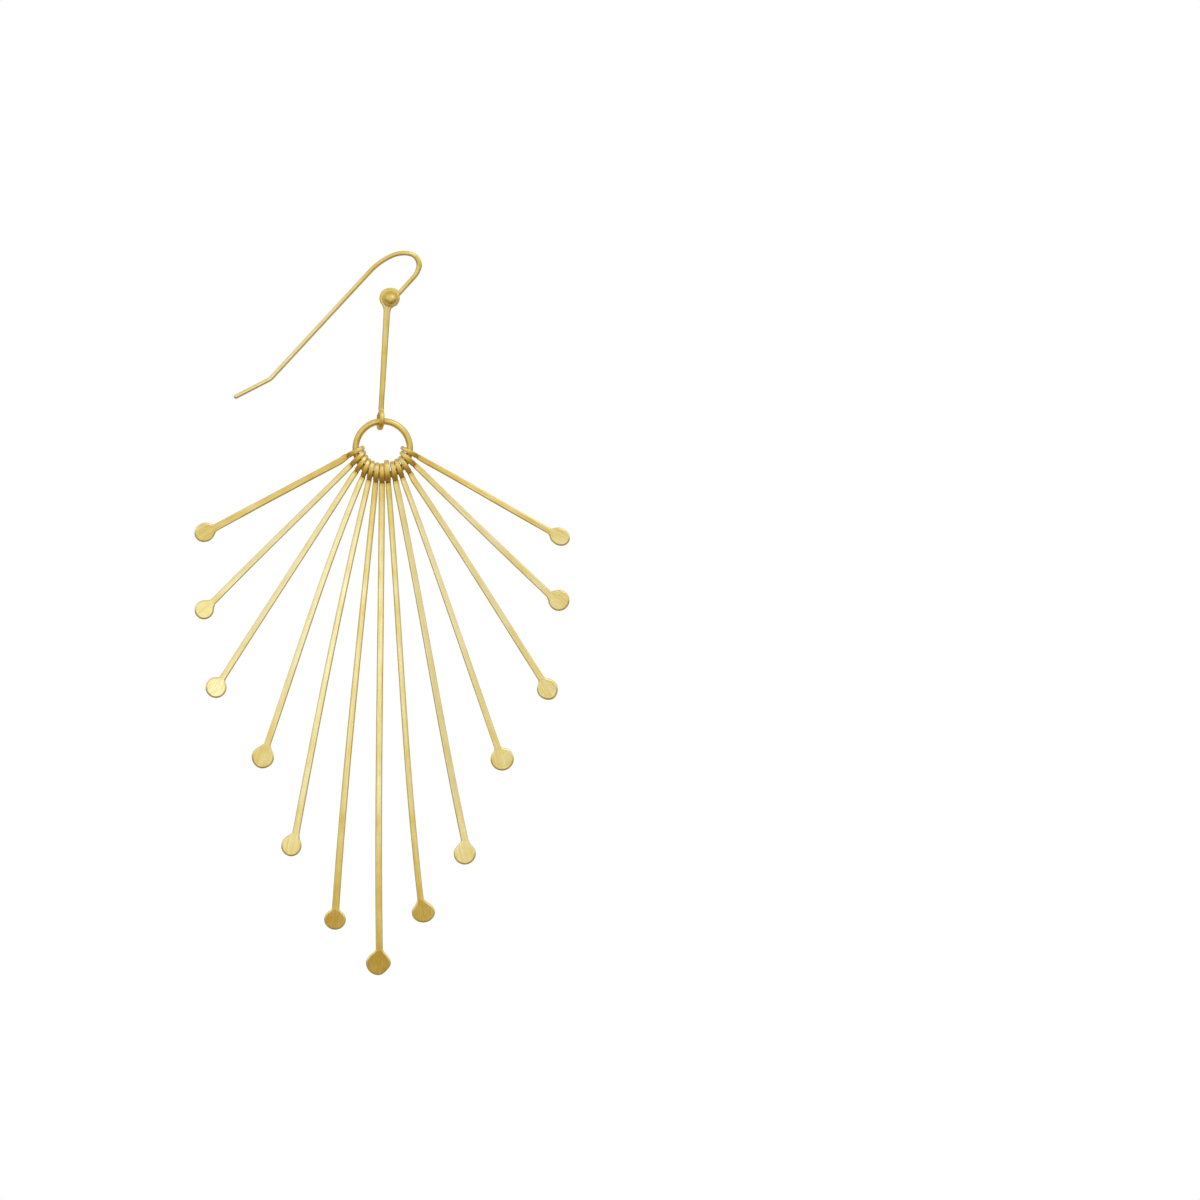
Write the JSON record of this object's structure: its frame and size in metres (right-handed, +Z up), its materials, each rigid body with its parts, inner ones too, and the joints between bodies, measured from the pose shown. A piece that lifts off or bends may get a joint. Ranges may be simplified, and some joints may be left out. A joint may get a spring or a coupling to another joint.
{
  "type": "fringe earring",
  "caption": "Long drop earring: a balled ear wire carries a flat stem, whose eye holds a small ring, and flattened rods of stepped lengths with round paddle ends hang on the ring like a fan.",
  "frame": {"origin": "where the earring sits in the ear: the inside of the ear wire's arc, at its top, in the middle of the wire's plane", "axes": "+Z up, +X to the right seen from the front, and the front with the ball and the paddles' faces towards -Y"},
  "size_m": [0.0508, 0.0037, 0.0978],
  "materials": {
    "satin_gold": "matte pale gold plating, lightly brushed along the rods"
  },
  "bodies": {
    "hook": {"ear_wire": "satin_gold"},
    "stem": {"stem": "satin_gold"},
    "fan": {"ring": "satin_gold", "rod_01": "satin_gold", "rod_02": "satin_gold", "rod_03": "satin_gold", "rod_04": "satin_gold", "rod_05": "satin_gold", "rod_06": "satin_gold", "rod_07": "satin_gold", "rod_08": "satin_gold", "rod_09": "satin_gold", "rod_10": "satin_gold", "rod_11": "satin_gold", "rod_12": "satin_gold", "rod_13": "satin_gold"}
  },
  "joints": [
    {"name": "stem_swing", "type": "hinge", "parent": "hook", "child": "stem", "pos_m": [-0.00181, -0.0008, -0.00596], "axis": [0, 1, 0], "range_deg": [-90, 33]},
    {"name": "fan_swing", "type": "hinge", "parent": "stem", "child": "fan", "pos_m": [-0.00324, -0.0008, -0.02241], "axis": [0.9959, 0, 0.0906], "range_deg": [-90, 90]}
  ]
}
